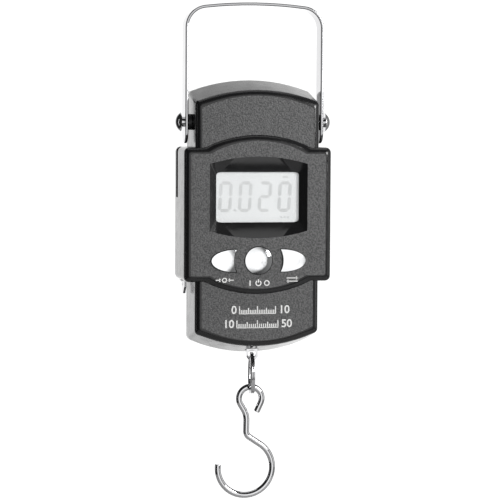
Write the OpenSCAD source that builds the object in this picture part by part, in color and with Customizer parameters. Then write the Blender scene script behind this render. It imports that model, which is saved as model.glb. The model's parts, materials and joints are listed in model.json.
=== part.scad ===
// Hanging digital scale with a strap handle, a load cell, a hook and a pull-out measuring tape.
// The origin is the grip point: the middle of the handle's underside. +X is right, +Y is the back, +Z is up.
// Heights inside the housing are counted from the centre of its wide middle section.

/* [Housing] */
// Width of the wide middle section
middle_w = 70; // [66:1:80]
// Height of the middle section at its shoulders
middle_h = 62.8; // [58:0.2:76]
// Height of the curved bulge above and below the shoulders
bulge_h = 6.05; // [4:0.05:7]
// Width of the bulge where it meets the shoulders
bulge_w = 51.6; // [46:0.2:54]
// Width of the narrow column that runs from top to bottom
column_w = 59; // [56:0.5:60]
// Height of the column's top above the middle's centre
column_up = 58.4; // [56:0.2:70]
// Depth of the column's bottom below the middle's centre
column_down = 62.1; // [58:0.1:72]
// Rise of the curved top edge
top_crown = 5.7; // [3:0.1:8]
// Rise of the curved bottom edge
bottom_crown = 6.5; // [3:0.1:8]
// How much further the top and bottom reach at the seam than at the face
flare = 4.4; // [1:0.1:5]
// Depth of the whole housing
housing_d = 30; // [29:0.5:36]
// Distance from the middle's face back to the seam between the shells
seam_depth = 22; // [21:0.5:24]
// How far the middle's face stands in front of the column's face
face_step = 1.8; // [1:0.1:2.4]
// Radius of the rounded edge round the faces
edge_r = 3; // [1:0.1:3.4]
// Width of the chamfer round the back
back_chamfer = 3; // [1:0.5:4]
// Radius of the housing's corners
corner_r = 2.4; // [1:0.1:4]
// Wall thickness of both shells
wall = 2; // [1.6:0.1:2.4]

/* [Window] */
// Width of the display's visible area
window_w = 38.9; // [34:0.1:42]
// Height of the display's visible area
window_h = 22.5; // [20:0.1:24]
// Height of the window's centre above the middle's centre
window_up = 8.1; // [6:0.1:10]
// Depth of the window below the face
window_sink = 3; // [2.5:0.1:3.4]
// Width of the sloping surround
surround_w = 46.5; // [44:0.5:48]
// Height of the surround at its sides
surround_h = 31.3; // [28:0.1:33]
// Rise of the surround's curved top and bottom
surround_crown = 3.4; // [1:0.1:4]
// Radius of the window's corners
window_r = 1.5; // [0.5:0.1:3]

/* [Buttons] */
// Diameter of the round button
button_d = 12.7; // [10:0.1:14]
// Height of the buttons' line below the middle's centre
buttons_down = 21.4; // [20.6:0.1:22]
// Gap between a button and its hole
button_gap = 0.4; // [0.3:0.05:0.6]
// How far the buttons stand out of the face
button_out = 1.3; // [0.8:0.1:2]
// How far a button travels
button_travel = 0.5; // [0.3:0.1:0.8]
// Radius of the leaf buttons' hollow inner edge
leaf_in = 11.8; // [11.4:0.1:12.4]
// Distance from the middle button to the tip of a leaf button
leaf_out = 22.4; // [20:0.1:22.8]
// Height of a leaf button
leaf_h = 10.4; // [8:0.2:10.8]

/* [Handle] */
// Width of the steel strap
strap_w = 10; // [8:0.5:12]
// Thickness of the steel strap
strap_t = 1.5; // [1:0.1:2]
// Height of the grip's underside above the pivot
handle_rise = 54.5; // [45:0.5:70]
// Radius of the handle's upper corners, inside
handle_r = 9; // [6:0.5:14]
// Rise of the handle's top bar
handle_crown = 1.3; // [0.6:0.1:3]
// Length of the strap below the pivot
tail = 10; // [7:0.5:10.4]
// Height of the pivot above the middle's centre
pivot_up = 43; // [42.5:0.1:43.5]
// Thickness of the bush between the strap and the housing
bush_t = 1.9; // [1.5:0.1:3]
// Diameter of the bush
bush_d = 7.5; // [7:0.1:9]
// Diameter of the pivot screw's smooth neck
neck_d = 4.7; // [4:0.1:5]
// Diameter of the pivot screw's domed head
head_d = 9.4; // [8:0.1:10]
// Height of the pivot screw's domed head
head_h = 2.8; // [2:0.1:3.5]
// Length of bare neck between the strap and the head
neck_out = 1.4; // [0.3:0.1:2]

/* [Load path] */
// Diameter of the cross bar that carries the load cell
axle_d = 6; // [5:0.1:7]
// Width of the load cell
cell_w = 12; // [10:0.5:13]
// Thickness of the load cell
cell_t = 8; // [7:0.5:8]
// Distance from the pivot down to the pin of the lug
cell_reach = 88; // [80:1:90]
// Width of the steel lug
lug_w = 5.4; // [5:0.1:7]
// Thickness of the steel lug
lug_t = 2; // [1.5:0.1:2.5]
// Distance from the lug's pin down to its ring hole
lug_reach = 21.8; // [21:0.1:28]
// Diameter of the lug's pin
pin_d = 3; // [2.5:0.1:3.2]
// Outer diameter of the split ring
ring_d = 19.8; // [17:0.1:24]
// Diameter of the split ring's wire
ring_wire_d = 1.4; // [1.2:0.05:1.5]
// Turn of the hanging ring about the vertical
ring_turn = -8; // [-12:1:0]
// Diameter of the hook's wire
hook_wire_d = 3; // [2.4:0.1:3.4]
// Radius of the hook's bowl, to the middle of the wire
bowl_r = 13.2; // [11:0.1:18]
// Radius of the hook's eye, to the middle of the wire
eye_r = 5.5; // [5.2:0.1:7]
// How far to the left of the ring the eye's centre hangs
eye_left = 0.6; // [0:0.1:1]

/* [Power] */
// Diameter of one battery
battery_d = 10.5; // [10.2:0.1:10.6]
// Length of one battery
battery_l = 44.5; // [43:0.5:45]
// Room at each end of a battery for its contacts
contact_room = 3; // [2.5:0.1:3.2]

/* [Tape] */
// Width of the steel tape
tape_w = 6; // [5:0.1:6]
// Thickness of the steel tape
tape_t = 0.12; // [0.1:0.01:0.2]
// Outer radius of the wound tape
coil_r = 9.5; // [9:0.1:9.6]
// Inner radius of the wound tape
coil_hub_r = 6.8; // [6.2:0.1:7.2]
// Height of the reel's centre above the middle's centre
reel_up = 18; // [17:0.1:18.2]

/* [Hidden] */
$fn = 48;
// Smallest gap between pieces that are assembled, and the running gap of a pin in its hole
gap = 0.1;
running = 0.05;
// Thickness of a slice in a hull, the overlap that joins two solids, and how far a cut runs past a face
slice = 0.2;
seat = 0.01;
cut = 1;
// Share of an inset that a rounded corner's radius loses
corner_inset = 0.5;
// Slices that a rounded edge is built from
edge_steps = 4;
// Places from front to back
face_y = -housing_d / 2;
column_face_y = face_y + face_step;
seam_y = face_y + seam_depth;
back_y = housing_d / 2;
inner_face_y = face_y + wall;
inner_back_y = back_y - wall;
// Places from top to bottom
pivot_z = -handle_rise;
mid_z = pivot_z - pivot_up;
shoulder = middle_h / 2;
lug_pin_z = pivot_up - cell_reach;
ring_hole_z = lug_pin_z - lug_reach;
ring_r = (ring_d - ring_wire_d) / 2;
ring_z = ring_hole_z - ring_r;
ring_bottom_z = ring_z - ring_r;
// The eye hangs on the ring's two wires side by side, which touch it at their outer corners
eye_inner = eye_r - hook_wire_d / 2;
hang_gap = 0.15;
eye_drop = sqrt(pow(eye_inner - hang_gap - ring_wire_d / 2, 2) - pow(ring_wire_d / 2 + eye_left, 2));
eye_z = ring_bottom_z - eye_drop;
// The handle's inner width follows from the column and the bushes
handle_in = column_w + 2 * bush_t + 2 * gap + 0.2;
// The display stack, from the lens back to the circuit board
lens_y = face_y + window_sink + gap;
lens_t = 1;
lens_margin = 3;
glass_y = lens_y + lens_t + gap;
glass_t = 2.2;
glass_margin = 3.1;
light_y = glass_y + glass_t + gap;
light_t = 2.2;
board_y = light_y + light_t + gap;
board_t = 1.6;
board_back_y = board_y + board_t;
board_boss_r = 2;
board_screw_r = 0.9;
board_w = middle_w - 2 * wall - 8;
board_up = shoulder - wall - 0.2;
board_down = shoulder - wall - 0.4;
board_screw_x = board_w / 2 - 3;
board_screw_up = board_up - board_boss_r;
board_screw_down = board_down - 2.6;
frame_t = 1.2;
strip_h = 2.2;
// How far a part on the board stands off it, so that the two stay apart
solder = 0.02;
led_w = 1.6;
led_t = 1;
led_h = 3;
blob_r = 5.5;
blob_t = 1.4;
blob_dome_r = 11.8;
blob_x = -17;
blob_down = 6;
small_part_xs = [-24, -20.6, -17.2, -13.8];
small_part = [2, 0.8, 1.2];
large_part_xs = [-24, -20, -16];
large_part = [1.6, 1.1, 2.8];
can_r = 2;
can_t = 3;
// Switches and buttons
leaf_x = (leaf_in + leaf_out) / 2;
leaf_hollow = 0.6;
leaf_steps = 12;
switch_w = 6;
switch_h = 3.4;
plunger_r = 1.75;
plunger_in = 1.6;
plunger_out = 0.9;
flange = 1;
flange_t = 0.9;
stem_r = 2.4;
// Load path
shank_r = 1.5;
shank_l = 8;
cell_end = 5;
cell_top = 3;
cell_bore_r = cell_w / 2 - 1.5;
cell_bore_z = 7;
cell_slot_w = 2;
gauge_t = 0.25;
gauge_w = 4;
gauge_h = 6;
wire_r = 0.3;
wire_pitch = 0.8;
lug_hole_r = lug_w / 2 - 0.7;
lug_over = 3;
lug_room = 0.5;
// Screws
boss_r = 2.8;
boss_x = 22;
boss_up = 49.6;
boss_down = 52;
screw_r = 1.2;
screw_head_r = 2.3;
screw_head_t = 1.4;
screw_slot_w = 0.6;
screw_slot_l = 3.2;
screw_slot_t = 0.6;
board_head_r = 1.7;
board_head_t = 0.9;
board_hole_in = 1.5;
board_screw_in = 2.5;
// Battery bay
bay_wall = 1.2;
bay_room = 0.25;
bay_slack = 0.45;
bay_x1 = middle_w / 2 - wall - bay_wall - bay_room;
bay_x0 = bay_x1 - 2 * battery_d - 3 * bay_slack;
bay_half = battery_l / 2 + contact_room;
battery_y = battery_d / 2 + gap + 0.2;
battery_xs = [bay_x0 + bay_slack + battery_d / 2, bay_x1 - bay_slack - battery_d / 2];
cover_margin = 1;
cover_gap = 0.2;
grip_grooves = 5;
grip_pitch = 2;
grip_t = 0.5;
grip_edge = 5;
battery_wire_r = 0.5;
nub_l = 0.9;
nub_r = 1.9;
contact_w = 8;
contact_t = 0.4;
contact_in = 0.5;
coil_wire_r = 0.38;
coil_pitch = 0.75;
coil_wide_r = 3.4;
// Tape
tape_y = seam_y;
reel_flange = 1;
reel_flange_t = 0.5;
reel_r = coil_r + reel_flange;
blade_x = -middle_w / 2 + wall + 1.4;
reel_x = blade_x + coil_r + tape_t / 2 + running;
post_r = 2;
post_step = 1.5;
tape_plate_r = 7;
tape_plate_t = 0.8;
plate_screw_l = 4.5;
plate_head_r = 1.8;
spring_turns = 5;
spring_steps = 24;
spring_t = 0.15;
spring_room = 0.3;
spring_edge = 0.6;
long_slot_half = 2.5;
mouth_half = 1;
mouth_room = 0.5;
tab_top_z = -shoulder - 0.3;
tab_drop = 6.4;
tab_t = 0.45;
tab_w = 8;
tab_tip_half = 1.2;
toe = 1.4;
blade_end = 2.4;
rivet_up = 4.4;
rivet_r = 0.75;

function crown_r(w, rise) = (w * w / 4 + rise * rise) / (2 * rise);
function crown_line(w, up, rise, steps = 12) =
    [for (i = [0:steps])
        let (x = w * (i / steps - 0.5), r = crown_r(w, rise))
        [x, up - r + sqrt(r * r - x * x)]];
function arc_line(c, r, a0, a1, steps) =
    [for (i = [0:steps])
        let (a = a0 + (a1 - a0) * i / steps)
        c + r * [cos(a), sin(a)]];
function toward(a) = [cos(a), sin(a)];
// A rounded edge: how far in from the outline, and how deep, each of its slices lies
function edge_inset(i) = edge_r * (1 - sin(90 * i / edge_steps));
function edge_depth(i) = edge_r * (1 - cos(90 * i / edge_steps));

// Placing helpers: a flat outline in X and Z becomes a plate between two depths
module plate(y0, y1) {
    translate([0, y1, 0]) rotate([90, 0, 0]) linear_extrude(y1 - y0) children();
}
module slice_at(y) {
    plate(y, y + slice) children();
}
module from_middle() {
    translate([0, 0, mid_z]) children();
}
module rod_y(x, z, r, y0, y1) {
    translate([x, y0, z]) rotate([-90, 0, 0]) cylinder(r = r, h = y1 - y0);
}
module rod_x(z, r, x0, x1) {
    translate([x0, 0, z]) rotate([0, 90, 0]) cylinder(r = r, h = x1 - x0);
}
module box(x, y, z) {
    translate([x[0], y[0], z[0]]) cube([x[1] - x[0], y[1] - y[0], z[1] - z[0]]);
}
module both_sides() {
    for (side = [0, 1]) mirror([side, 0, 0]) children();
}

// An outline with curved ends: each corner's arc is tangent to its side and to the end's curve
function end_line(w, up, rise, r) =
    let (
        big_r = crown_r(w, rise),
        corner_x = w / 2 - r,
        corner_z = up - big_r + sqrt(pow(big_r - r, 2) - corner_x * corner_x),
        a = atan2(corner_z - up + big_r, corner_x)
    )
    concat(arc_line([corner_x, corner_z], r, 0, a, 4),
        arc_line([0, up - big_r], big_r, a, 180 - a, 12),
        arc_line([-corner_x, corner_z], r, 180 - a, 180, 4));

// Outlines of the housing, seen from the front
module column_outline(grow = 0, longer = 0) {
    w = column_w + 2 * grow;
    r = corner_r + grow * (grow < 0 ? corner_inset : 1);
    polygon(concat(end_line(w, column_up + longer + grow, top_crown, r),
        [for (p = end_line(w, column_down + longer + grow, bottom_crown, r)) -p]));
}
module rounded_outline(w, h, r) {
    x = w / 2 - r;
    z = h / 2 - r;
    polygon(concat(arc_line([x, z], r, 0, 90, 4), arc_line([-x, z], r, 90, 180, 4),
        arc_line([-x, -z], r, 180, 270, 4), arc_line([x, -z], r, 270, 360, 4)));
}
module middle_outline(grow = 0) {
    rounded_outline(middle_w + 2 * grow, middle_h + 2 * grow,
        corner_r + grow * (grow < 0 ? corner_inset : 1));
}
module bulge_outline(grow = 0) {
    line = crown_line(bulge_w + 2 * grow, shoulder + bulge_h + grow, bulge_h);
    polygon(concat(line, [for (p = line) -p]));
}
module surround_outline() {
    line = crown_line(surround_w, surround_h / 2 + surround_crown, surround_crown);
    translate([0, window_up]) polygon(concat(line, [for (p = line) -p]));
}
module display_outline(margin = 0) {
    translate([0, window_up]) square([window_w + 2 * margin, window_h + 2 * margin], center = true);
}
// A leaf button is half an ellipse, hollowed round the middle button
module leaf_outline(grow = 0) {
    middle = leaf_in - leaf_hollow;
    half = leaf_h / 2 + grow;
    tip = leaf_out - middle + grow;
    difference() {
        polygon(concat([[leaf_in / 2, -half]],
            [for (i = [-leaf_steps:leaf_steps])
                let (a = 90 * i / leaf_steps)
                [middle + tip * cos(a), half * sin(a)]],
            [[leaf_in / 2, half]]));
        circle(leaf_in - grow, $fn = 120);
    }
}

// Handle: one bent strap with rounded tails
module handle_strap() color("silver") {
    half = handle_in / 2;
    span = half - handle_r;
    top_r = crown_r(2 * span, handle_crown);
    lean = asin(span / (top_r - handle_r));
    corner_z = -top_r + (top_r - handle_r) * cos(lean);
    bottom = pivot_z - tail;
    inner = concat([[half, bottom]], arc_line([span, corner_z], handle_r, 0, 90 - lean, 12),
        arc_line([0, -top_r], top_r, 90 - lean, 90 + lean, 8),
        arc_line([-span, corner_z], handle_r, 90 + lean, 180, 12), [[-half, bottom]]);
    outer = concat([[half + strap_t, bottom]],
        arc_line([span, corner_z], handle_r + strap_t, 0, 90 - lean, 12),
        arc_line([0, -top_r], top_r + strap_t, 90 - lean, 90 + lean, 8),
        arc_line([-span, corner_z], handle_r + strap_t, 90 + lean, 180, 12), [[-half - strap_t, bottom]]);
    difference() {
        plate(-strap_w / 2, strap_w / 2)
            polygon(concat(outer, [for (i = [len(inner) - 1:-1:0]) inner[i]]));
        // What the round tails leave of the square ends
        both_sides() difference() {
            box([half - cut, half + strap_t + cut], [-strap_w, strap_w],
                [bottom - cut, bottom + strap_w / 2]);
            rod_x(bottom + strap_w / 2, strap_w / 2, half - 2 * cut, half + strap_t + 2 * cut);
        }
        both_sides() rod_x(pivot_z, neck_d / 2 + running, half - cut, half + strap_t + cut);
    }
}

// Front shell
module front_shell() color("dimgray") from_middle() difference() {
    union() {
        difference() {
            union() {
                hull() {
                    for (i = [0:edge_steps])
                        slice_at(column_face_y + edge_depth(i)) column_outline(-edge_inset(i));
                    slice_at(seam_y - slice) column_outline(0, flare);
                }
                hull() {
                    for (i = [0:edge_steps]) slice_at(face_y + edge_depth(i)) middle_outline(-edge_inset(i));
                    slice_at(seam_y - slice) middle_outline();
                }
                hull() for (i = [0:edge_steps])
                    slice_at(face_y + edge_depth(i)) bulge_outline(-edge_inset(i));
            }
            hull() {
                slice_at(column_face_y + wall) column_outline(-wall);
                slice_at(seam_y + cut) column_outline(-wall, flare);
            }
            box([-middle_w / 2 + wall, middle_w / 2 - wall], [inner_face_y, seam_y + cut],
                [-shoulder + wall, shoulder - wall]);
        }
        // Thick rim that the lens of the display is bonded to
        plate(inner_face_y - seat, face_y + window_sink) display_outline(lens_margin);
        housing_bosses(column_face_y + wall - seat, seam_y);
        board_bosses();
    }
    hull() {
        slice_at(face_y - slice) surround_outline();
        slice_at(face_y + window_sink) translate([0, window_up])
            rounded_outline(window_w, window_h, window_r);
    }
    button_holes();
    both_sides() rod_x(pivot_up, neck_d / 2 + gap, column_w / 2 - 2 * wall, column_w / 2 + cut);
    lug_slot();
    tape_slots();
    for (x = [-boss_x, boss_x], z = [boss_up, -boss_down]) rod_y(x, z, screw_r, 0, seam_y + cut);
    for (x = [-board_screw_x, board_screw_x], z = [board_screw_up, -board_screw_down])
        rod_y(x, z, board_screw_r, inner_face_y + board_hole_in, board_y);
}
module housing_bosses(y0, y1) {
    for (x = [-boss_x, boss_x], z = [boss_up, -boss_down]) rod_y(x, z, boss_r, y0, y1);
}
module board_bosses() {
    for (x = [-board_screw_x, board_screw_x], z = [board_screw_up, -board_screw_down])
        rod_y(x, z, board_boss_r, inner_face_y - seat, board_y - gap);
}
module button_holes() {
    translate([0, 0, -buttons_down]) plate(face_y - cut, inner_face_y + cut) {
        circle(button_d / 2 + button_gap);
        leaf_outline(button_gap);
        mirror([1, 0]) leaf_outline(button_gap);
    }
}
module lug_slot() {
    box([-lug_w / 2 - lug_room, lug_w / 2 + lug_room], [-lug_t / 2 - lug_room, lug_t / 2 + lug_room],
        [-column_down - flare - cut, -column_down + bottom_crown]);
}
// The long opening beside the reel, and the mouth that the tape comes out of
module tape_slots() {
    box([-middle_w / 2 - cut, -middle_w / 2 + wall + seat],
        [tape_y - long_slot_half, tape_y + long_slot_half], [reel_up - reel_r, shoulder + cut]);
    box([blade_x - mouth_half, blade_x + mouth_half],
        [tape_y - tape_w / 2 - mouth_room, tape_y + tape_w / 2 + mouth_room],
        [-shoulder - cut, -shoulder + wall + cut]);
}

// Back shell with the battery bay and the tape's post
module back_shell() color("dimgray") from_middle() difference() {
    union() {
        difference() {
            union() {
                hull() {
                    plate(seam_y, back_y - back_chamfer) column_outline(0, flare);
                    slice_at(back_y - slice) column_outline(-back_chamfer, flare);
                }
                hull() {
                    plate(seam_y, back_y - back_chamfer) middle_outline();
                    slice_at(back_y - slice) middle_outline(-back_chamfer);
                }
            }
            plate(seam_y - cut, back_y - back_chamfer) column_outline(-wall, flare);
            plate(seam_y, inner_back_y) column_outline(-back_chamfer, flare);
            box([-middle_w / 2 + wall, middle_w / 2 - wall], [seam_y - cut, back_y - back_chamfer],
                [-shoulder + wall, shoulder - wall]);
            box([-middle_w / 2 + back_chamfer, middle_w / 2 - back_chamfer], [seam_y - cut, inner_back_y],
                [-shoulder + back_chamfer, shoulder - back_chamfer]);
        }
        housing_bosses(seam_y + gap, inner_back_y + seat);
        bay_block(bay_wall, 0);
        rod_y(reel_x, reel_up, post_r, tape_y - tape_w / 2 - reel_flange_t - 2 * gap, inner_back_y + seat);
        rod_y(reel_x, reel_up, post_r + post_step, tape_y + tape_w / 2 + reel_flange_t + 2 * gap,
            inner_back_y + seat);
    }
    bay_block(0, cut);
    cover_recess();
    for (x = [-boss_x, boss_x], z = [boss_up, -boss_down]) {
        rod_y(x, z, screw_r + gap, seam_y - cut, back_y + cut);
        rod_y(x, z, screw_head_r + 0.2, seam_y + wall, back_y + cut);
    }
    rod_y(reel_x, reel_up, board_screw_r, 0, seam_y);
    tape_slots();
}
module bay_block(margin, past) {
    box([bay_x0 - margin, bay_x1 + margin], [-margin, past > 0 ? back_y + past : inner_back_y + seat],
        [-bay_half - margin, bay_half + margin]);
}
// The recess that the battery cover sits in
module cover_recess() {
    box([bay_x0 - cover_margin, min(bay_x1 + cover_margin, middle_w / 2 - back_chamfer)],
        [back_y - wall / 2, back_y + cut], [-bay_half - cover_margin, bay_half + cover_margin]);
}
module battery_cover() color("dimgray") from_middle() {
    x0 = bay_x0 - cover_margin + cover_gap;
    x1 = min(bay_x1 + cover_margin, middle_w / 2 - back_chamfer) - cover_gap;
    half = bay_half + cover_margin - cover_gap;
    difference() {
        union() {
            box([x0, x1], [back_y - wall / 2 + running, back_y], [-half, half]);
            box([bay_x0 + cover_gap, bay_x1 - cover_gap], [inner_back_y, back_y - wall / 2 + seat + running],
                [-bay_half + cover_gap, bay_half - cover_gap]);
        }
        // Finger grip: grooves near the lower edge
        for (i = [0:grip_grooves - 1]) {
            z = -half + grip_edge + i * grip_pitch;
            box([x0 + grip_edge, x1 - grip_edge], [back_y - grip_t, back_y + cut], [z, z + grip_pitch / 2]);
        }
    }
}

// Display
module lcd_window() color("lightcyan") from_middle()
    plate(lens_y, lens_y + lens_t) display_outline(lens_margin - gap);
module lcd_glass() color("gainsboro") from_middle()
    plate(glass_y, glass_y + glass_t) display_outline(glass_margin);
module lcd_backlight() color("white") from_middle()
    plate(light_y, light_y + light_t) difference() {
        display_outline(glass_margin);
        translate([0, window_up - window_h / 2 - glass_margin])
            square([window_w * 2, 2 * (strip_h + gap)], center = true);
    }
module lcd_contact_strip() color("hotpink") from_middle()
    box([-window_w / 2, window_w / 2], [light_y, light_y + light_t],
        [window_up - window_h / 2 - glass_margin + gap, window_up - window_h / 2 - glass_margin + strip_h]);
module lcd_frame() color("whitesmoke") from_middle()
    plate(glass_y, board_y - gap) difference() {
        display_outline(glass_margin + gap + frame_t);
        display_outline(glass_margin + gap);
    }

// Circuit board and what stands on it
module circuit_board() color("seagreen") from_middle() difference() {
    box([-board_w / 2, board_w / 2], [board_y, board_back_y], [-board_down, board_up]);
    for (x = [-board_screw_x, board_screw_x], z = [board_screw_up, -board_screw_down])
        rod_y(x, z, board_screw_r + gap, board_y - cut, board_back_y + cut);
}
module board_screws() color("silver") from_middle()
    for (x = [-board_screw_x, board_screw_x], z = [board_screw_up, -board_screw_down]) {
        rod_y(x, z, board_screw_r - running, inner_face_y + board_screw_in, board_back_y + gap);
        rod_y(x, z, board_head_r, board_back_y + gap, board_back_y + gap + board_head_t);
    }
module chip_cover() color("black") from_middle() intersection() {
    rod_y(blob_x, -blob_down, blob_r, board_back_y + solder, board_back_y + blob_t);
    translate([blob_x, board_back_y + blob_t - blob_dome_r, -blob_down]) sphere(blob_dome_r, $fn = 180);
}
// A part of the given width, thickness and height on the back of the board
module board_part(x, z, size) {
    box([x, x + size[0]], [board_back_y + solder, board_back_y + size[1]], [z, z + size[2]]);
}
module board_parts() color("saddlebrown") from_middle() {
    for (x = small_part_xs) board_part(x, -18, small_part);
    for (x = large_part_xs) board_part(x, 6, large_part);
    rod_y(-13, -23, can_r, board_back_y + solder, board_back_y + can_t);
}
module backlight_led() color("lightyellow") from_middle() {
    x = window_w / 2 + glass_margin + gap + frame_t + 0.5;
    box([x, x + led_w], [board_y - led_t, board_y - solder], [window_up - led_h / 2, window_up + led_h / 2]);
}
module switch_bodies() color("dimgray") from_middle()
    for (x = [-leaf_x, 0, leaf_x]) difference() {
        box([x - switch_w / 2, x + switch_w / 2], [board_y - switch_h, board_y - solder],
            [-buttons_down - switch_w / 2, -buttons_down + switch_w / 2]);
        rod_y(x, -buttons_down, plunger_r + running, board_y - switch_h - cut,
            board_y - switch_h + plunger_in + button_travel + 2 * gap);
    }
module plunger(x) color("black") from_middle()
    rod_y(x, -buttons_down, plunger_r, board_y - switch_h - plunger_out, board_y - switch_h + plunger_in);
module tare_plunger() plunger(-leaf_x);
module power_plunger() plunger(0);
module unit_plunger() plunger(leaf_x);

// Buttons: a domed cap, a flange behind the wall and a stem that reaches the switch
module button_back(x) {
    rod_y(x, -buttons_down, stem_r, inner_face_y + gap + flange_t - seat, board_y - switch_h - plunger_out);
}
module power_button() color("silver") from_middle() {
    dome_r = 24;
    intersection() {
        rod_y(0, -buttons_down, button_d / 2, face_y - button_out, inner_face_y + gap + seat);
        translate([0, face_y - button_out + dome_r, -buttons_down]) sphere(dome_r, $fn = 240);
    }
    rod_y(0, -buttons_down, button_d / 2 + flange, inner_face_y + gap, inner_face_y + gap + flange_t);
    button_back(0);
}
module leaf_button() {
    dome_r = 34;
    intersection() {
        translate([0, 0, -buttons_down])
            plate(face_y - button_out, inner_face_y + gap + seat) leaf_outline();
        translate([leaf_x, face_y - button_out + dome_r, -buttons_down]) sphere(dome_r, $fn = 240);
    }
    translate([0, 0, -buttons_down]) plate(inner_face_y + gap, inner_face_y + gap + flange_t) intersection() {
        leaf_outline(flange);
        translate([leaf_x, 0])
            square([2 * (leaf_x - button_d / 2 - flange - 2 * gap), leaf_h * 2], center = true);
    }
    button_back(leaf_x);
}
module tare_button() color("silver") from_middle() mirror([1, 0, 0]) leaf_button();
module unit_button() color("silver") from_middle() leaf_button();

// Load path: cross bar, load cell, lug, ring and hook
module cross_bar() color("lightsteelblue") from_middle() difference() {
    rod_x(pivot_up, axle_d / 2, -column_w / 2 + wall + gap, column_w / 2 - wall - gap);
    both_sides() rod_x(pivot_up, shank_r + running, column_w / 2 - wall - shank_l - 1, column_w / 2);
}
// Turned in one profile: threaded shank, smooth neck and domed head
module pivot_screws() color("silver") from_middle() both_sides() {
    inner = column_w / 2 - wall - gap;
    neck_l = handle_in / 2 + strap_t + neck_out - inner;
    ball_r = (head_d * head_d / 4 + head_h * head_h) / (2 * head_h);
    half_angle = asin(head_d / 2 / ball_r);
    translate([inner, 0, pivot_up]) rotate([0, 90, 0]) rotate_extrude()
        polygon(concat([[0, -shank_l], [shank_r, -shank_l], [shank_r, 0]],
            [[neck_d / 2, 0], [neck_d / 2, neck_l]],
            arc_line([0, neck_l + head_h - ball_r], ball_r, 90 - half_angle, 90, 10)));
}
module pivot_bushes() color("black") from_middle() both_sides() difference() {
    rod_x(pivot_up, bush_d / 2, column_w / 2 + running, column_w / 2 + bush_t);
    rod_x(pivot_up, neck_d / 2 + running, column_w / 2 - cut, column_w / 2 + bush_t + cut);
}
module load_cell() color("lightgray") from_middle() difference() {
    box([-cell_w / 2, cell_w / 2], [-cell_t / 2, cell_t / 2],
        [lug_pin_z - cell_end, pivot_up + axle_d / 2 + cell_top]);
    rod_x(pivot_up, axle_d / 2 + running, -cell_w, cell_w);
    // Twin bores joined by a slot: the thin walls beside them bend under load
    for (z = [-cell_bore_z, cell_bore_z]) rod_y(0, z, cell_bore_r, -cell_t, cell_t);
    box([-cell_slot_w / 2, cell_slot_w / 2], [-cell_t, cell_t], [-cell_bore_z, cell_bore_z]);
    box([-cell_w, cell_w], [-lug_t / 2 - gap, lug_t / 2 + gap],
        [lug_pin_z - cell_end - cut, lug_pin_z + cell_end]);
    rod_y(0, lug_pin_z, pin_d / 2 + running, -cell_t, cell_t);
}
module strain_gauges() color("orange") from_middle() both_sides() for (z = [-cell_bore_z, cell_bore_z])
    box([cell_w / 2 + solder, cell_w / 2 + gauge_t], [-gauge_w / 2, gauge_w / 2],
        [z - gauge_h / 2, z + gauge_h / 2]);
// Four wires from the cell's side to the board
module gauge_wires() color("firebrick") from_middle() for (i = [0:3]) {
    x = -cell_w / 2 - 3 * wire_r - wire_pitch * i;
    z = i - 2;
    rod_y(x, z, wire_r, board_back_y + solder, 0);
    rod_x(z, wire_r, x, -cell_w / 2 - wire_r);
}
// Two wires from the board to the bay's upper wall
module battery_wires() color("firebrick") from_middle() for (x = battery_xs) {
    wire_x = x - battery_d / 3;
    z = bay_half + bay_wall + 1.2;
    rod_y(wire_x, z, battery_wire_r, board_back_y + solder, seam_y);
    translate([wire_x, seam_y - 1, bay_half + bay_wall + solder])
        cylinder(r = battery_wire_r - running, h = z - bay_half - bay_wall);
}
module hook_lug() color("silver") from_middle() plate(-lug_t / 2, lug_t / 2) difference() {
    union() {
        translate([-lug_w / 2, ring_hole_z]) square([lug_w, lug_reach + lug_over]);
        intersection() {
            translate([0, ring_hole_z]) circle(lug_w / 2 + 0.35);
            translate([-lug_w / 2, ring_hole_z - lug_w]) square([lug_w, lug_w + seat]);
        }
    }
    translate([0, ring_hole_z]) circle(lug_hole_r);
    translate([0, lug_pin_z]) circle(pin_d / 2 + running);
}
module lug_pin() color("silver") from_middle() rod_y(0, lug_pin_z, pin_d / 2, -cell_t / 2, cell_t / 2);
module split_ring() color("silver") from_middle() translate([0, 0, ring_z]) rotate([0, 0, ring_turn])
    rotate([0, 90, 0]) for (side = [-1, 1])
        translate([0, 0, side * (ring_wire_d / 2 - 0.01)])
            rotate_extrude($fn = 96) translate([ring_r, 0]) circle(ring_wire_d / 2, $fn = 24);

// The hook is one wire: bowl, straight, bend, straight neck, bend, straight, eye and its straight end
bowl_tip = 172;
bowl_end = 56;
neck_low_r = 3.4;
neck_low_heading = 89;
neck_top_r = 10;
eye_heading = 121;
eye_open = -25;
low_run = 6.5;
neck_run = 5.1;
top_run = 2.8;
eye_tail = 4.7;
low_start = bowl_r * toward(bowl_end) + low_run * toward(bowl_end + 90);
low_centre = low_start + neck_low_r * toward(bowl_end);
low_end = low_centre + neck_low_r * toward(neck_low_heading + 90);
top_start = low_end + neck_run * toward(neck_low_heading);
top_centre = top_start + neck_top_r * toward(neck_low_heading + 90);
top_end = top_centre + neck_top_r * toward(eye_heading - 90);
eye_centre = top_end + top_run * toward(eye_heading) + eye_r * toward(eye_heading - 90);
eye_end = eye_centre + eye_r * toward(eye_open) + eye_tail * toward(eye_open - 90);
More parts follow.
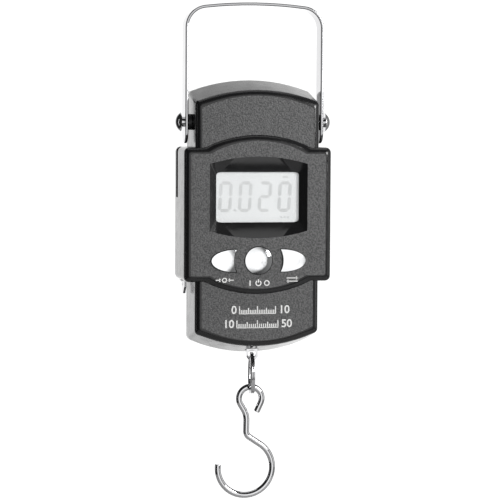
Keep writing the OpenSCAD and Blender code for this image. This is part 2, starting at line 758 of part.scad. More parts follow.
// Each stop is a point of the wire's middle line and its heading there
function bend(c, r, a0, a1, steps) =
    [for (i = [0:steps])
        let (a = a0 + (a1 - a0) * i / steps)
        [c + r * toward(a), a + (a1 > a0 ? 90 : -90)]];
function hook_stops() = concat(
    bend([0, 0], bowl_r, bowl_tip, 360 + bowl_end, 28),
    bend(low_centre, neck_low_r, bowl_end + 180, neck_low_heading + 90, 5),
    bend(top_centre, neck_top_r, neck_low_heading - 90, eye_heading - 90, 4),
    bend(eye_centre, eye_r, eye_heading + 90, eye_open, 20),
    [[eye_end, eye_open - 90]]);
module wire_sweep(stops, r, sides) {
    rings = [for (s = stops, k = [0:sides - 1])
        let (t = 360 * k / sides, out = r * cos(t) * toward(s[1] + 90))
        [s[0][0] + out[0], r * sin(t), s[0][1] + out[1]]];
    last = len(stops) - 1;
    polyhedron(rings, concat(
        [[for (k = [0:sides - 1]) k]],
        [for (i = [0:last - 1], k = [0:sides - 1])
            let (a = i * sides + k, b = i * sides + (k + 1) % sides)
            [a, a + sides, b + sides, b]],
        [[for (k = [sides - 1:-1:0]) last * sides + k]]), convexity = 6);
}
module hook() color("silver") from_middle()
    translate([-eye_left - eye_centre[0], 0, eye_z - eye_centre[1]])
        wire_sweep(hook_stops(), hook_wire_d / 2, 12);

// Batteries and contacts
module battery(x, up) {
    flip = up ? 0 : 180;
    translate([x, battery_y, 0]) rotate([flip, 0, 0]) {
        translate([0, 0, -battery_l / 2]) cylinder(d = battery_d, h = battery_l - nub_l);
        translate([0, 0, battery_l / 2 - nub_l - seat]) cylinder(r = nub_r, h = nub_l);
    }
}
module batteries() color("gold") from_middle() {
    battery(battery_xs[0], true);
    battery(battery_xs[1], false);
}
module contact(x, up) {
    flip = up ? 1 : 0;
    mirror([0, 0, flip]) translate([x, battery_y, bay_half - contact_in]) children();
}
module contact_plates() color("silver") from_middle() for (i = [0, 1], flip = [false, true])
    contact(battery_xs[i], flip) translate([-contact_w / 2, -contact_w / 2, 0])
        cube([contact_w, contact_w, contact_t]);
module contact_springs() color("silver") from_middle() for (i = [0, 1])
    contact(battery_xs[i], i == 0) for (turn = [0:2])
        translate([0, 0, -coil_wire_r - solder - coil_pitch * turn]) rotate_extrude()
            translate([coil_wide_r - turn / 2, 0]) circle(coil_wire_r, $fn = 16);

module housing_screws() color("silver") from_middle()
    for (x = [-boss_x, boss_x], z = [boss_up, -boss_down]) {
        head_y = seam_y + wall + gap;
        top_y = head_y + screw_head_t;
        difference() {
            union() {
                rod_y(x, z, screw_r - running, 1, head_y + seat);
                rod_y(x, z, screw_head_r, head_y, top_y);
            }
            for (w = [[screw_slot_l / 2, screw_slot_w / 2], [screw_slot_w / 2, screw_slot_l / 2]])
                box([x - w[0], x + w[0]], [top_y - screw_slot_t, back_y], [z - w[1], z + w[1]]);
        }
    }

// Measuring tape: a sprung reel on the post, and a straight blade that ends in a tab
module tape_reel() color("white") from_middle() difference() {
    union() {
        rod_y(reel_x, reel_up, coil_hub_r - running, tape_y - tape_w / 2 - seat, tape_y + tape_w / 2 + seat);
        for (side = [-1, 1]) {
            y = tape_y + side * (tape_w / 2 + reel_flange_t / 2);
            rod_y(reel_x, reel_up, reel_r, y - reel_flange_t / 2, y + reel_flange_t / 2);
        }
    }
    rod_y(reel_x, reel_up, post_r + running, tape_y - tape_w, tape_y + tape_w);
    rod_y(reel_x, reel_up, coil_hub_r - 1, tape_y - tape_w, tape_y + tape_w / 2);
}
module tape_coil() color("gold") from_middle() difference() {
    rod_y(reel_x, reel_up, coil_r, tape_y - tape_w / 2 + running, tape_y + tape_w / 2 - running);
    rod_y(reel_x, reel_up, coil_hub_r, tape_y - tape_w, tape_y + tape_w);
}
module tape_spring() color("gray") from_middle() translate([reel_x, 0, reel_up])
    plate(tape_y - tape_w / 2 + spring_edge, tape_y + tape_w / 2 - spring_edge) {
        r0 = post_r + spring_room;
        r1 = coil_hub_r - 1 - spring_room - spring_t;
        steps = spring_turns * spring_steps;
        line = [for (i = [0:steps]) [i * 360 / spring_steps, r0 + (r1 - r0) * i / steps]];
        polygon(concat([for (p = line) p[1] * toward(p[0])],
            [for (i = [steps:-1:0]) (line[i][1] + spring_t) * toward(line[i][0])]));
    }
module tape_plate() color("silver") from_middle() {
    y = tape_y - tape_w / 2 - reel_flange_t - 3 * gap;
    difference() {
        rod_y(reel_x, reel_up, tape_plate_r, y - tape_plate_t, y);
        rod_y(reel_x, reel_up, board_screw_r + gap, y - cut, y + cut);
    }
}
module tape_plate_screw() color("silver") from_middle() {
    y = tape_y - tape_w / 2 - reel_flange_t - 4 * gap - tape_plate_t;
    rod_y(reel_x, reel_up, board_screw_r - running, y, y + plate_screw_l);
    rod_y(reel_x, reel_up, plate_head_r, y - board_head_t, y);
}
module tape_blade() color("gold") from_middle() {
    half = tape_w / 2 - 2 * running;
    box([blade_x - tape_t / 2, blade_x + tape_t / 2], [tape_y - half, tape_y + half],
        [tab_top_z - tab_drop + blade_end, reel_up]);
}
// A folded steel tab: two faces round the blade's end and a toe that stops at the shoulder
module tape_tab() color("silver") from_middle() {
    inner = tape_t / 2 + running;
    bottom = tab_top_z - tab_drop;
    difference() {
        translate([blade_x - inner - tab_t, 0, 0]) rotate([90, 0, 90]) linear_extrude(2 * (inner + tab_t))
            polygon([[tape_y - tab_w / 2, tab_top_z], [tape_y + tab_w / 2, tab_top_z],
                [tape_y + tab_w / 2, tab_top_z - tab_drop / 2], [tape_y + tab_tip_half, bottom],
                [tape_y - tab_tip_half, bottom], [tape_y - tab_w / 2, tab_top_z - tab_drop / 2]]);
        box([blade_x - inner, blade_x + inner], [tape_y - tape_w / 2, tape_y + tape_w / 2],
            [bottom + blade_end - gap, tab_top_z + cut]);
        translate([blade_x, tape_y, bottom + rivet_up]) rotate([0, 90, 0])
            cylinder(r = rivet_r + running, h = tab_w, center = true);
    }
    box([blade_x - inner - tab_t - toe, blade_x - inner - tab_t + seat],
        [tape_y - tab_w / 2, tape_y + tab_w / 2], [tab_top_z - tab_t, tab_top_z]);
}
module tape_rivets() color("gray") from_middle() for (side = [-1, 1]) {
    x = blade_x + side * (tape_t / 2 + 2 * running + tab_t / 2);
    translate([x, tape_y, tab_top_z - tab_drop + rivet_up]) rotate([0, 90, 0])
        cylinder(r = rivet_r, h = tab_t, center = true);
}

handle_strap();
front_shell();
back_shell();
battery_cover();
lcd_window();
lcd_glass();
lcd_backlight();
lcd_frame();
lcd_contact_strip();
circuit_board();
board_screws();
chip_cover();
board_parts();
backlight_led();
switch_bodies();
tare_plunger();
power_plunger();
unit_plunger();
tare_button();
power_button();
unit_button();
load_cell();
strain_gauges();
gauge_wires();
battery_wires();
cross_bar();
pivot_screws();
pivot_bushes();
hook_lug();
lug_pin();
batteries();
contact_springs();
contact_plates();
housing_screws();
tape_reel();
tape_coil();
tape_spring();
tape_plate();
tape_plate_screw();
tape_blade();
tape_tab();
tape_rivets();
split_ring();
hook();
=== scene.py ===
# %% [markdown]
# # A hanging fish scale
# A black plastic housing hangs in a bent steel strap. Inside it a load cell carries a lug, a split ring and
# a hook. The engineering model already holds every part at its real size, so this file gives each part the
# surface it has on the real object, and remakes the few pieces whose look depends on flowing bent wire.

# %% Load the frame
import json
import math
import bmesh
import bpy
from mathutils import Matrix, Vector


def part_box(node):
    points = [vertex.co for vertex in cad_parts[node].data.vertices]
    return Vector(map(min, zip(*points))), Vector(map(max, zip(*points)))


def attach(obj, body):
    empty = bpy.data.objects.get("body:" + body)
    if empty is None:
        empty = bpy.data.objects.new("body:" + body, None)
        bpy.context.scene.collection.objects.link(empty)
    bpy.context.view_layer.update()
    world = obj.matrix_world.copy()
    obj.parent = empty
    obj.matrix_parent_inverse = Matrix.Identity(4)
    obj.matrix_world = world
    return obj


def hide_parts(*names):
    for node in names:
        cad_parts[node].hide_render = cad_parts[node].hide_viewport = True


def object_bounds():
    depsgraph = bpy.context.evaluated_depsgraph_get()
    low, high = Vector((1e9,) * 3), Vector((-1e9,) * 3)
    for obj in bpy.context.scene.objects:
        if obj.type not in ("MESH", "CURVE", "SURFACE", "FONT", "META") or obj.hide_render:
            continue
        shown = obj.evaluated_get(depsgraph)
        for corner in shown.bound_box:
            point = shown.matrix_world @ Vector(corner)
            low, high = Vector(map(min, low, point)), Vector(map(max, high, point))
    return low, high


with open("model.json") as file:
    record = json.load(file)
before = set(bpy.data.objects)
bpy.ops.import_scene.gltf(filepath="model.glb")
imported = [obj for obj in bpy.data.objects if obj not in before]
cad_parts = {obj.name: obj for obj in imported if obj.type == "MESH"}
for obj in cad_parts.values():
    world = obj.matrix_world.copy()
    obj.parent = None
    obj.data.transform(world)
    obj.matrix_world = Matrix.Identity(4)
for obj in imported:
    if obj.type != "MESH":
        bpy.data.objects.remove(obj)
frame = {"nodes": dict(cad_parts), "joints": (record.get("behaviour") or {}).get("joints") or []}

cad_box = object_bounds()

# %% Places that everything else is measured from
MM = 0.001
joints = {j["name"]: j for j in frame["joints"]}


def middle_of(node):
    low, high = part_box(node)
    return (low + high) / 2


face_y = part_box("front_shell")[0].y
button_row_z = middle_of("power_button").z
display_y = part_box("lcd_glass")[0].y
display_mid = middle_of("lcd_window")
print("face at y =", round(face_y, 4), "buttons at z =", round(button_row_z, 4))

# %% [markdown]
# ## Node helpers
# Every finish below is a small network of shader nodes on Object coordinates, which are metres here. The
# same three or four nodes come back in each, so they are wrapped once. Patterns are placed in the piece's
# own space and not on the picture, so they stay put when the part swings.

# %% Material helpers


def new_material(name, colour, roughness, metallic=0.0):
    material = bpy.data.materials.new(name)
    material.use_nodes = True
    shader = material.node_tree.nodes["Principled BSDF"]
    shader.inputs["Base Color"].default_value = (*colour, 1)
    shader.inputs["Roughness"].default_value = roughness
    shader.inputs["Metallic"].default_value = metallic
    return material, material.node_tree, shader


def coordinates(tree, scale=(1, 1, 1)):
    where = tree.nodes.new("ShaderNodeTexCoord")
    mapping = tree.nodes.new("ShaderNodeMapping")
    mapping.inputs["Scale"].default_value = scale
    tree.links.new(where.outputs["Object"], mapping.inputs["Vector"])
    return mapping.outputs["Vector"]


def noise(tree, scale, detail=3.0, stretch=(1, 1, 1)):
    node = tree.nodes.new("ShaderNodeTexNoise")
    node.inputs["Scale"].default_value = scale
    node.inputs["Detail"].default_value = detail
    tree.links.new(coordinates(tree, stretch), node.inputs["Vector"])
    return node.outputs["Fac"]


def between(tree, value, low, high):
    node = tree.nodes.new("ShaderNodeMapRange")
    node.inputs["From Min"].default_value = 0.3
    node.inputs["From Max"].default_value = 0.7
    node.inputs["To Min"].default_value = low
    node.inputs["To Max"].default_value = high
    tree.links.new(value, node.inputs["Value"])
    return node.outputs["Result"]


def tint(tree, value, first, second):
    ramp = tree.nodes.new("ShaderNodeValToRGB")
    ramp.color_ramp.elements[0].color = (*first, 1)
    ramp.color_ramp.elements[0].position = 0.35
    ramp.color_ramp.elements[1].color = (*second, 1)
    ramp.color_ramp.elements[1].position = 0.65
    tree.links.new(value, ramp.inputs["Fac"])
    return ramp.outputs["Color"]


def bump(tree, shader, height, depth, strength=1.0):
    node = tree.nodes.new("ShaderNodeBump")
    node.inputs["Distance"].default_value = depth
    node.inputs["Strength"].default_value = strength
    tree.links.new(height, node.inputs["Height"])
    tree.links.new(node.outputs["Normal"], shader.inputs["Normal"])
    return node


# %% [markdown]
# ## Moulded black plastic
# The housing is one black ABS, but the mould gives it two skins. The broad faces are spark-eroded: fine
# pebbles, well under a millimetre across, that scatter light and look grey. The edges and sides are
# polished and stay nearly black. Two materials do this, both with a slight drift in shade and gloss.

# %% Plastic finishes


def textured_plastic():
    material, tree, shader = new_material("abs_textured", (0.092, 0.092, 0.093), 0.5)
    pebbles = noise(tree, 1350, 2.0)
    shade = tint(tree, pebbles, (0.05, 0.05, 0.051), (0.135, 0.135, 0.136))
    tree.links.new(shade, shader.inputs["Base Color"])
    tree.links.new(between(tree, noise(tree, 60), 0.44, 0.54), shader.inputs["Roughness"])
    bump(tree, shader, pebbles, 0.0003, 0.7)
    return material


def polished_plastic(name="abs_polished", shade=0.012):
    material, tree, shader = new_material(name, (shade, shade, shade * 1.05), 0.2)
    tree.links.new(between(tree, noise(tree, 220), 0.14, 0.24), shader.inputs["Roughness"])
    bump(tree, shader, noise(tree, 350, 1.0), 0.00003, 0.5)
    return material


def plain_plastic(name, colour, roughness=0.45, grain=1500):
    material, tree, shader = new_material(name, colour, roughness)
    dark = tuple(c * 0.9 for c in colour)
    tree.links.new(tint(tree, noise(tree, 120), dark, colour), shader.inputs["Base Color"])
    gloss = between(tree, noise(tree, 700), roughness - 0.06, roughness + 0.06)
    tree.links.new(gloss, shader.inputs["Roughness"])
    bump(tree, shader, noise(tree, grain), 0.00003, 0.5)
    return material


textured = textured_plastic()
polished = polished_plastic()
white_plastic = plain_plastic("moulded_white", (0.78, 0.78, 0.75))
dark_plastic = plain_plastic("moulded_dark", (0.03, 0.03, 0.032))
print("plastics ready")

# %% [markdown]
# ## Metals
# The handle, ring and hook are polished steel, the buttons are chrome on plastic, and the inner steel is
# dull zinc. Steel drawn as strip or wire carries hair lines along its length, so the noise is stretched
# along that direction. Handling leaves faint smudges, which are a second, broad noise in the roughness.

# %% Metal finishes


def metal(name, colour, low, high, stretch=(1, 1, 1), lines=3000, depth=0.000004):
    material, tree, shader = new_material(name, colour, (low + high) / 2, 1.0)
    worn = tuple(c * 0.92 for c in colour)
    tree.links.new(tint(tree, noise(tree, 90), worn, colour), shader.inputs["Base Color"])
    tree.links.new(between(tree, noise(tree, 140, 4.0), low, high), shader.inputs["Roughness"])
    bump(tree, shader, noise(tree, lines, 2.0, stretch), depth, 0.6)
    return material


strap_steel = metal("strap_steel", (0.45, 0.45, 0.46), 0.06, 0.11, (1, 1, 0.03), 4000)
wire_steel = metal("wire_steel", (0.66, 0.66, 0.67), 0.05, 0.1)
chrome = metal("chrome_plating", (0.86, 0.87, 0.88), 0.06, 0.12, lines=800)
zinc = metal("zinc_steel", (0.55, 0.56, 0.58), 0.28, 0.42)
milled = metal("milled_aluminium", (0.75, 0.76, 0.77), 0.3, 0.4, (1, 1, 0.02))
spring_steel = metal("spring_steel", (0.4, 0.4, 0.42), 0.2, 0.3)
print("metals ready")

# %% [markdown]
# ## Finishes of the small inner parts
# They only show when the battery cover is off or the tape is out, but each still has its own material:
# solder mask, potting resin, lacquered tape with its black division lines, and printed battery sleeves.

# %% Inner finishes


def tape_finish():
    material, tree, shader = new_material("tape_lacquer", (0.8, 0.62, 0.05), 0.3)
    wave = tree.nodes.new("ShaderNodeTexWave")
    wave.bands_direction = "Z"
    wave.inputs["Scale"].default_value = 10
    wave.inputs["Distortion"].default_value = 0.0
    tree.links.new(coordinates(tree), wave.inputs["Vector"])
    ramp = tree.nodes.new("ShaderNodeValToRGB")
    ramp.color_ramp.elements[0].color = (0.03, 0.03, 0.03, 1)
    ramp.color_ramp.elements[0].position = 0.02
    ramp.color_ramp.elements[1].color = (0.8, 0.62, 0.05, 1)
    ramp.color_ramp.elements[1].position = 0.06
    tree.links.new(wave.outputs["Fac"], ramp.inputs["Fac"])
    tree.links.new(ramp.outputs["Color"], shader.inputs["Base Color"])
    tree.links.new(between(tree, noise(tree, 300), 0.25, 0.35), shader.inputs["Roughness"])
    return material


def battery_finish():
    material, tree, shader = new_material("battery_sleeve", (0.6, 0.45, 0.1), 0.25)
    low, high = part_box("batteries")
    where = tree.nodes.new("ShaderNodeSeparateXYZ")
    tree.links.new(coordinates(tree), where.inputs["Vector"])
    along = tree.nodes.new("ShaderNodeMapRange")
    along.inputs["From Min"].default_value = low.z
    along.inputs["From Max"].default_value = high.z
    tree.links.new(where.outputs["Z"], along.inputs["Value"])
    ramp = tree.nodes.new("ShaderNodeValToRGB")
    ramp.color_ramp.interpolation = "CONSTANT"
    ramp.color_ramp.elements[0].color = (0.02, 0.02, 0.02, 1)
    ramp.color_ramp.elements[1].color = (0.55, 0.33, 0.06, 1)
    ramp.color_ramp.elements[1].position = 0.68
    tree.links.new(along.outputs["Result"], ramp.inputs["Fac"])
    tree.links.new(ramp.outputs["Color"], shader.inputs["Base Color"])
    tree.links.new(between(tree, noise(tree, 400), 0.2, 0.3), shader.inputs["Roughness"])
    return material


board_green = plain_plastic("solder_mask", (0.02, 0.16, 0.07), 0.25)
resin = plain_plastic("potting_resin", (0.012, 0.012, 0.012), 0.2)
part_brown = plain_plastic("small_parts", (0.3, 0.19, 0.1), 0.4)
rubber_pink = plain_plastic("contact_rubber", (0.6, 0.25, 0.28), 0.6)
gauge_amber = plain_plastic("gauge_film", (0.6, 0.36, 0.08), 0.3)
red_wire = plain_plastic("wire_insulation", (0.45, 0.03, 0.03), 0.35)
diffuser = plain_plastic("diffuser", (0.85, 0.86, 0.87), 0.5)
tape_yellow = tape_finish()
battery_sleeve = battery_finish()
print("inner finishes ready")

# %% [markdown]
# ## Display finishes
# The liquid crystal cell is a pale grey sheet with a faint painted glow, which makes it brighter than the
# lamps alone would. Its lens is clear acrylic: light passes through it, and only its gloss shows, so it is a
# faint glossy skin over a transparent one.

# %% Display materials


def display_grey():
    material, tree, shader = new_material("display_grey", (0.78, 0.79, 0.79), 0.3)
    cloud = noise(tree, 60, 1.0)
    tree.links.new(tint(tree, cloud, (0.77, 0.78, 0.78), (0.8, 0.81, 0.81)), shader.inputs["Base Color"])
    # A faint painted glow that brightens the sheet beyond what the lamps give it.
    shader.inputs["Emission Color"].default_value = (0.9, 0.92, 0.92, 1)
    shader.inputs["Emission Strength"].default_value = 0.2
    return material


def clear_lens():
    material, tree, shader = new_material("clear_lens", (0.9, 0.92, 0.93), 0.03)
    tree.links.new(between(tree, noise(tree, 80), 0.02, 0.05), shader.inputs["Roughness"])
    shader.inputs["Alpha"].default_value = 0.12
    return material


lcd_grey = display_grey()
lens_clear = clear_lens()
segment_grey = plain_plastic("segment_grey", (0.8, 0.81, 0.81), 0.4)
print_white = plain_plastic("print_white", (0.95, 0.95, 0.94), 0.45)

# %% [markdown]
# ## Finished copies of the moulded and machined parts
# A part from the engineering model has knife edges. Real edges are broken by a tenth or two of a
# millimetre, and that thin rounded line is what catches the light. The part's own mesh stays as it is: a
# copy is welded, its flat facets are merged into whole faces, and each sharp edge gets a small bevel.

# %% Copy a part and break its edges
CREASE = math.radians(40)


def finished_copy(node, round_by, body, materials, paint=None, sharp_from=28, segments=2, choose=None,
                  shape=None):
    """Choose, where given, picks the edges to round, and shape may change the welded copy before that."""
    bm = bmesh.new()
    bm.from_mesh(frame["nodes"][node].data)
    bmesh.ops.remove_doubles(bm, verts=bm.verts, dist=2e-6)
    bmesh.ops.dissolve_limit(bm, angle_limit=math.radians(0.6), verts=bm.verts, edges=bm.edges)
    if shape:
        shape(bm)
    edges = [e for e in bm.edges if e.is_manifold and e.calc_face_angle() > math.radians(sharp_from)]
    if choose:
        edges = [e for e in edges if choose(e)]
    bmesh.ops.bevel(bm, geom=edges, offset=round_by, offset_type="OFFSET", segments=segments, profile=0.5,
                    affect="EDGES", clamp_overlap=choose is None, material=-1)
    return keep_piece(bm, node + "_finished", body, materials, paint, [node])


def keep_piece(bm, name, body, materials, paint=None, replaced=()):
    for face in bm.faces:
        face.smooth = True
        face.material_index = paint(face) if paint else 0
    for edge in bm.edges:
        edge.smooth = not (edge.is_manifold and edge.calc_face_angle() > CREASE)
    mesh = bpy.data.meshes.new(name)
    bm.to_mesh(mesh)
    bm.free()
    for material in materials:
        mesh.materials.append(material)
    piece = bpy.data.objects.new(name, mesh)
    bpy.context.scene.collection.objects.link(piece)
    weighted = piece.modifiers.new("even_shading", "WEIGHTED_NORMAL")
    weighted.keep_sharp = True
    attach(piece, body)
    if replaced:
        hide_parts(*replaced)
    print(name, len(mesh.polygons), "faces")
    return piece


# %% [markdown]
# ## Housing
# The broad faces that look forwards take the textured skin, and every other face of the shell is
# polished, the sloping rims and the funnel round the display included.

# %% Shells, cover and bushes


def shell_paint(face):
    centre = face.calc_center_median()
    outside = centre.y < face_y + 2.2 * MM
    return 1 if face.normal.y < -0.995 and outside and face.calc_area() > 2e-5 else 0


finished_copy("front_shell", 0.12 * MM, "housing", [polished, textured], shell_paint)


def back_paint(face):
    return 1 if face.normal.y > 0.98 and face.calc_area() > 2e-5 else 0


finished_copy("back_shell", 0.12 * MM, "housing", [polished, textured], back_paint)
finished_copy("battery_cover", 0.12 * MM, "cover", [polished, textured], back_paint)
finished_copy("pivot_bushes", 0.2 * MM, "housing", [dark_plastic])

# %% [markdown]
# ## Handle, screws, lug and buttons
# These are the bright parts. Their bevels are a little wider, because polishing rounds an edge further. The
# strap's long edges are rounded most, but the edges of its pivot holes stay crisp, so they are not chosen.

# %% Bright parts
PIVOT_REACH = 3.5 * MM
pivot_at = Vector(joints["handle_fold"]["pos_m"])


def away_from_pivot(edge):
    middle = (edge.verts[0].co + edge.verts[1].co) / 2
    return math.hypot(middle.y - pivot_at.y, middle.z - pivot_at.z) > PIVOT_REACH


finished_copy("handle_strap", 0.55 * MM, "handle", [strap_steel], sharp_from=35,
              segments=4, choose=away_from_pivot)
finished_copy("pivot_screws", 0.15 * MM, "housing", [wire_steel])
finished_copy("hook_lug", 0.15 * MM, "housing", [wire_steel])
finished_copy("tape_tab", 0.08 * MM, "tape", [strap_steel])

# %% [markdown]
# A button is a plated cap that stands in an opening of the face, with a wide flange behind the wall that
# keeps it in. Its front edge is well rounded, which gives the cap its soft shading. The flange is painted
# dark as painted shade, so a dark gap shows round the cap.

# %% Buttons
NEAR = 0.1 * MM
DRAW_IN = 0.45 * MM
FLANGE_DEPTH = 1.5 * MM
button_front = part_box("power_button")[0].y


def on_button_front(edge):
    return all(abs(v.co.y - button_front) < NEAR for v in edge.verts)


def slim_cap(bm):
    """Draws the cap in a little, so that a dark gap shows round it as it does round a real button."""
    front_verts = [v for v in bm.verts if abs(v.co.y - button_front) < NEAR]
    cap = set(front_verts) | {e.other_vert(v) for v in front_verts for e in v.link_edges}
    xs = [v.co.x for v in front_verts]
    zs = [v.co.z for v in front_verts]
    middle = Vector(((min(xs) + max(xs)) / 2, 0, (min(zs) + max(zs)) / 2))
    factor = (1 - 2 * DRAW_IN / (max(xs) - min(xs)), 1, 1 - 2 * DRAW_IN / (max(zs) - min(zs)))
    bmesh.ops.scale(bm, verts=list(cap), vec=factor, space=Matrix.Translation(-middle))


def flange_shade_paint(face):
    """Paints the flange behind the face dark, as painted shade for the gap round the cap."""
    return 1 if face.calc_center_median().y > face_y + FLANGE_DEPTH else 0


# The flange takes dark plastic as painted shade, so the gap round each cap looks dark.
for part, body in (("tare_button", "tare"), ("power_button", "power"), ("unit_button", "unit")):
    finished_copy(part, 0.7 * MM, body, [chrome, dark_plastic], flange_shade_paint, segments=5,
                  choose=on_button_front, shape=slim_cap)

# %% [markdown]
# ## Hook and split ring
# Both are bent wire. A wire is one circle carried along arcs and straights, so each piece starts as a
# circle that is spun round a bend's centre and pushed along a straight, and no seam is left between them.
# The hook is bent in this order: bowl, straight, a tight bend into the neck, a wide bend out of it, and the
# eye with its straight end.

# %% Wire tools


class Wire:
    """A round wire that grows from its first end, bend by bend, in the plane of X and Z."""

    def __init__(self, start, heading, radius, sides=48):
        self.bm = bmesh.new()
        self.at = Vector(start)
        self.heading = math.radians(heading)
        turn = Matrix.Rotation(math.pi / 2 - self.heading, 4, "Y")
        made = bmesh.ops.create_circle(self.bm, cap_ends=True, segments=sides, radius=radius,
                                       matrix=Matrix.Translation(self.at) @ turn)
        self.first = made["verts"][0].link_faces[0]
        self.face = self.first

    def direction(self):
        return Vector((math.cos(self.heading), 0, math.sin(self.heading)))

    def grow(self, geometry):
        self.face = next(g for g in geometry if isinstance(g, bmesh.types.BMFace))

    def straight(self, length):
        made = bmesh.ops.extrude_face_region(self.bm, geom=[self.face])
        verts = [g for g in made["geom"] if isinstance(g, bmesh.types.BMVert)]
        bmesh.ops.translate(self.bm, verts=verts, vec=self.direction() * length)
        if self.face is not self.first:
            bmesh.ops.delete(self.bm, geom=[self.face], context="FACES_ONLY")
        self.grow(made["geom"])
        self.at += self.direction() * length

    def bend(self, radius, degrees, steps=12):
        """Positive degrees turn to the left, seen from the front."""
        side = 1 if degrees > 0 else -1
        centre = self.at + radius * side * Vector((-math.sin(self.heading), 0, math.cos(self.heading)))
        made = bmesh.ops.spin(self.bm, geom=[self.face], cent=centre, axis=(0, -1, 0),
                              angle=math.radians(degrees), steps=steps, use_merge=False)
        if self.face is not self.first:
            bmesh.ops.delete(self.bm, geom=[self.face], context="FACES_ONLY")
        self.grow(made["geom_last"])
        turn = Matrix.Rotation(math.radians(degrees), 3, Vector((0, -1, 0)))
        self.at = centre + turn @ (self.at - centre)
        self.heading += math.radians(degrees)


print("wire tools ready")

# %% Bend the hook
hook_low, hook_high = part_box("hook")
wire_r = (hook_high.y - hook_low.y) / 2
bowl_r = 13.2 * MM
eye_r = 5.5 * MM
bowl_left = 2.4 * MM
tip_degrees = 172
eye_x = joints["hook_swing"]["pos_m"][0]
bowl_mid = Vector((eye_x - bowl_left, 0, hook_low.z + bowl_r + wire_r))
tip_angle = math.radians(tip_degrees)
tip = bowl_mid + bowl_r * Vector((math.cos(tip_angle), 0, math.sin(tip_angle)))
hook_wire = Wire(tip, tip_degrees + 90, wire_r)
hook_wire.bend(bowl_r, 244, 120)
hook_wire.straight(6.5 * MM)
hook_wire.bend(3.4 * MM, -57, 20)
hook_wire.straight(5.1 * MM)
hook_wire.bend(10 * MM, 32, 16)
hook_wire.straight(2.8 * MM)
hook_wire.bend(eye_r, -236, 90)
hook_wire.straight(4.7 * MM)
bmesh.ops.recalc_face_normals(hook_wire.bm, faces=hook_wire.bm.faces)
rims = [e for f in (hook_wire.first, hook_wire.face) for e in f.edges]
bmesh.ops.bevel(hook_wire.bm, geom=rims, offset=0.75 * MM, offset_type="OFFSET", segments=4, profile=0.5,
                affect="EDGES", clamp_overlap=True, material=-1)
keep_piece(hook_wire.bm, "hook_wire", "hook", [wire_steel], None, ["hook"])

# %% [markdown]
# A split ring is a double turn of spring wire. One turn would need a gap; two turns side by side, whose
# ends cross over, hold the lug. A spin with a small step sideways at each stop winds that double turn.

# %% Wind the split ring
ring_joint = joints["ring_swing"]
ring_axis = Vector(ring_joint["axis"]).normalized()
ring_low, ring_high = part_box("split_ring")
ring_mid = (ring_low + ring_high) / 2
ring_wire_r = 0.68 * MM
ring_r = (ring_high.z - ring_low.z) / 2 - ring_wire_r - 0.02 * MM
ring_bm = bmesh.new()
ring_start = ring_mid + Vector((0, 0, -ring_r)) - ring_axis * ring_wire_r
ring_side = ring_axis.cross(Vector((0, 0, 1)))
circle_turn = Vector((0, 0, 1)).rotation_difference(ring_side).to_matrix().to_4x4()
made = bmesh.ops.create_circle(ring_bm, cap_ends=True, segments=32, radius=ring_wire_r,
                               matrix=Matrix.Translation(ring_start) @ circle_turn)
ring_steps = 288
ring_degrees = 712
pitch = ring_axis * (2 * ring_wire_r / (ring_steps / 2))
bmesh.ops.spin(ring_bm, geom=[made["verts"][0].link_faces[0]], cent=ring_mid, axis=ring_axis,
               dvec=pitch / 2, angle=math.radians(ring_degrees), steps=ring_steps, use_merge=False)
bmesh.ops.recalc_face_normals(ring_bm, faces=ring_bm.faces)
keep_piece(ring_bm, "ring_wire", "ring", [wire_steel], None, ["split_ring"])

# %% [markdown]
# ## Display
# The digits are seven-segment bars, barely darker than the sheet behind them. Each bar is a flat box with
# its ends cut to points, so one bar is made once and copied to its places.

# %% Digits
INK = 0.03 * MM


def bar(bm, centre, length, width, upright, lean):
    piece = bmesh.new()
    bmesh.ops.create_cube(piece, size=1.0)
    bmesh.ops.scale(piece, vec=(length, 2 * INK, width), verts=piece.verts)
    corners = [e for e in piece.edges if abs(e.verts[0].co.y - e.verts[1].co.y) > INK]
    bmesh.ops.bevel(piece, geom=corners, offset=width * 0.45, offset_type="OFFSET", segments=1, profile=0.5,
                    affect="EDGES", clamp_overlap=True, material=-1)
    if upright:
        quarter = Matrix.Rotation(math.pi / 2, 3, "Y")
        bmesh.ops.rotate(piece, verts=piece.verts, cent=(0, 0, 0), matrix=quarter)
    piece.transform(Matrix.Translation(centre))
    for v in piece.verts:
        v.co.x += (v.co.z - centre.z) * lean
    mesh = bpy.data.meshes.new("bar")
    piece.to_mesh(mesh)
    piece.free()
    bm.from_mesh(mesh)
    bpy.data.meshes.remove(mesh)


SEGMENTS = {"0": "abcdef", "2": "abged"}


def digit(bm, mark, centre, height):
    width = height * 0.44
    thick = height * 0.11
    lean = 0.06
    half = height / 2 - thick / 2
    side = width / 2 - thick / 2
    places = {
        "a": (0, half, False), "g": (0, 0, False), "d": (0, -half, False),
        "f": (-side, half / 2, True), "b": (side, half / 2, True),
        "e": (-side, -half / 2, True), "c": (side, -half / 2, True),
    }
    for name in SEGMENTS[mark]:
        x, z, upright = places[name]
        long = half - thick * 0.25 if upright else width - thick * 1.25
        bar(bm, centre + Vector((x + z * lean, 0, z)), long, thick, upright, lean if upright else 0)


# %% Lay out the display
DIGIT_HEIGHT = 14.4 * MM
DIGIT_PITCH = 9.4
DIGITS_LEFT = 1.0
DIGITS_UP = 0.2
digit_y = display_y - INK * 0.5


def on_display(right, up):
    """A place on the display, in millimetres from the middle of its window."""
    return Vector((display_mid.x + right * MM, digit_y, display_mid.z + up * MM))


